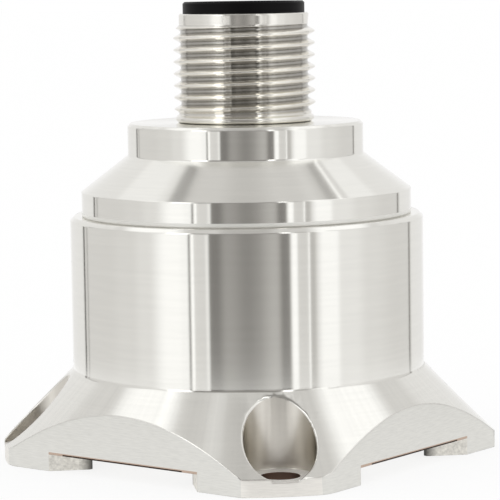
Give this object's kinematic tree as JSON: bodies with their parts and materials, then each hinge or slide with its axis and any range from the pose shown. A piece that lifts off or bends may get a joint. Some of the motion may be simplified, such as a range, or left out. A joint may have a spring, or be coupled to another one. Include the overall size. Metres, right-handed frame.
{
  "type": "vibration sensor",
  "caption": "Industrial vibration sensor: round turned housing on a square flange with counterbored ears and feet, stepped cap and a threaded M12 connector on top.",
  "frame": {"origin": "middle of the plane that the four feet stand on, on the sensor's axis", "axes": "+Z along the sensor's axis towards the connector; X and Y square to the four flats of the flange, so the ears lie on the diagonals"},
  "size_m": [0.0342, 0.0342, 0.0384],
  "materials": {
    "turned_aluminium": "fine turned, bright",
    "plated_shell": "nickel plated, bright",
    "black_insulator": "moulded, satin",
    "gold_contact": "gold flashed",
    "seal_rubber": "moulded, matte",
    "alumina_ceramic": "ground",
    "piezo_ceramic": "lapped",
    "electrode_brass": "rolled",
    "mass_steel": "turned",
    "screw_steel": "bright",
    "tinned_steel": "tinned",
    "circuit_board": "solder mask",
    "capacitor_ceramic": "fired",
    "white_plastic": "machined"
  },
  "bodies": {
    "root": {"base_housing": "turned_aluminium", "cap": "turned_aluminium", "connector_shell": "plated_shell", "contact_carrier": "black_insulator", "contact_pin_1": "gold_contact", "contact_pin_2": "gold_contact", "contact_pin_3": "gold_contact", "contact_pin_4": "gold_contact", "connector_nut": "plated_shell", "connector_seal_ring": "seal_rubber", "cap_seal_ring": "seal_rubber", "insulating_disc": "alumina_ceramic", "lower_electrode": "electrode_brass", "lower_piezo_ring": "piezo_ceramic", "middle_electrode": "electrode_brass", "upper_piezo_ring": "piezo_ceramic", "upper_electrode": "electrode_brass", "seismic_mass": "mass_steel", "insulating_sleeve": "white_plastic", "spring_washer": "screw_steel", "preload_screw": "screw_steel", "shield_can": "tinned_steel", "board_standoffs": "electrode_brass", "amplifier_board": "circuit_board", "board_screws": "screw_steel", "amplifier_chip": "black_insulator", "filter_capacitors": "capacitor_ceramic", "board_header": "black_insulator", "header_pins": "gold_contact", "supply_board": "circuit_board", "regulator_chip": "black_insulator"}
  },
  "joints": []
}
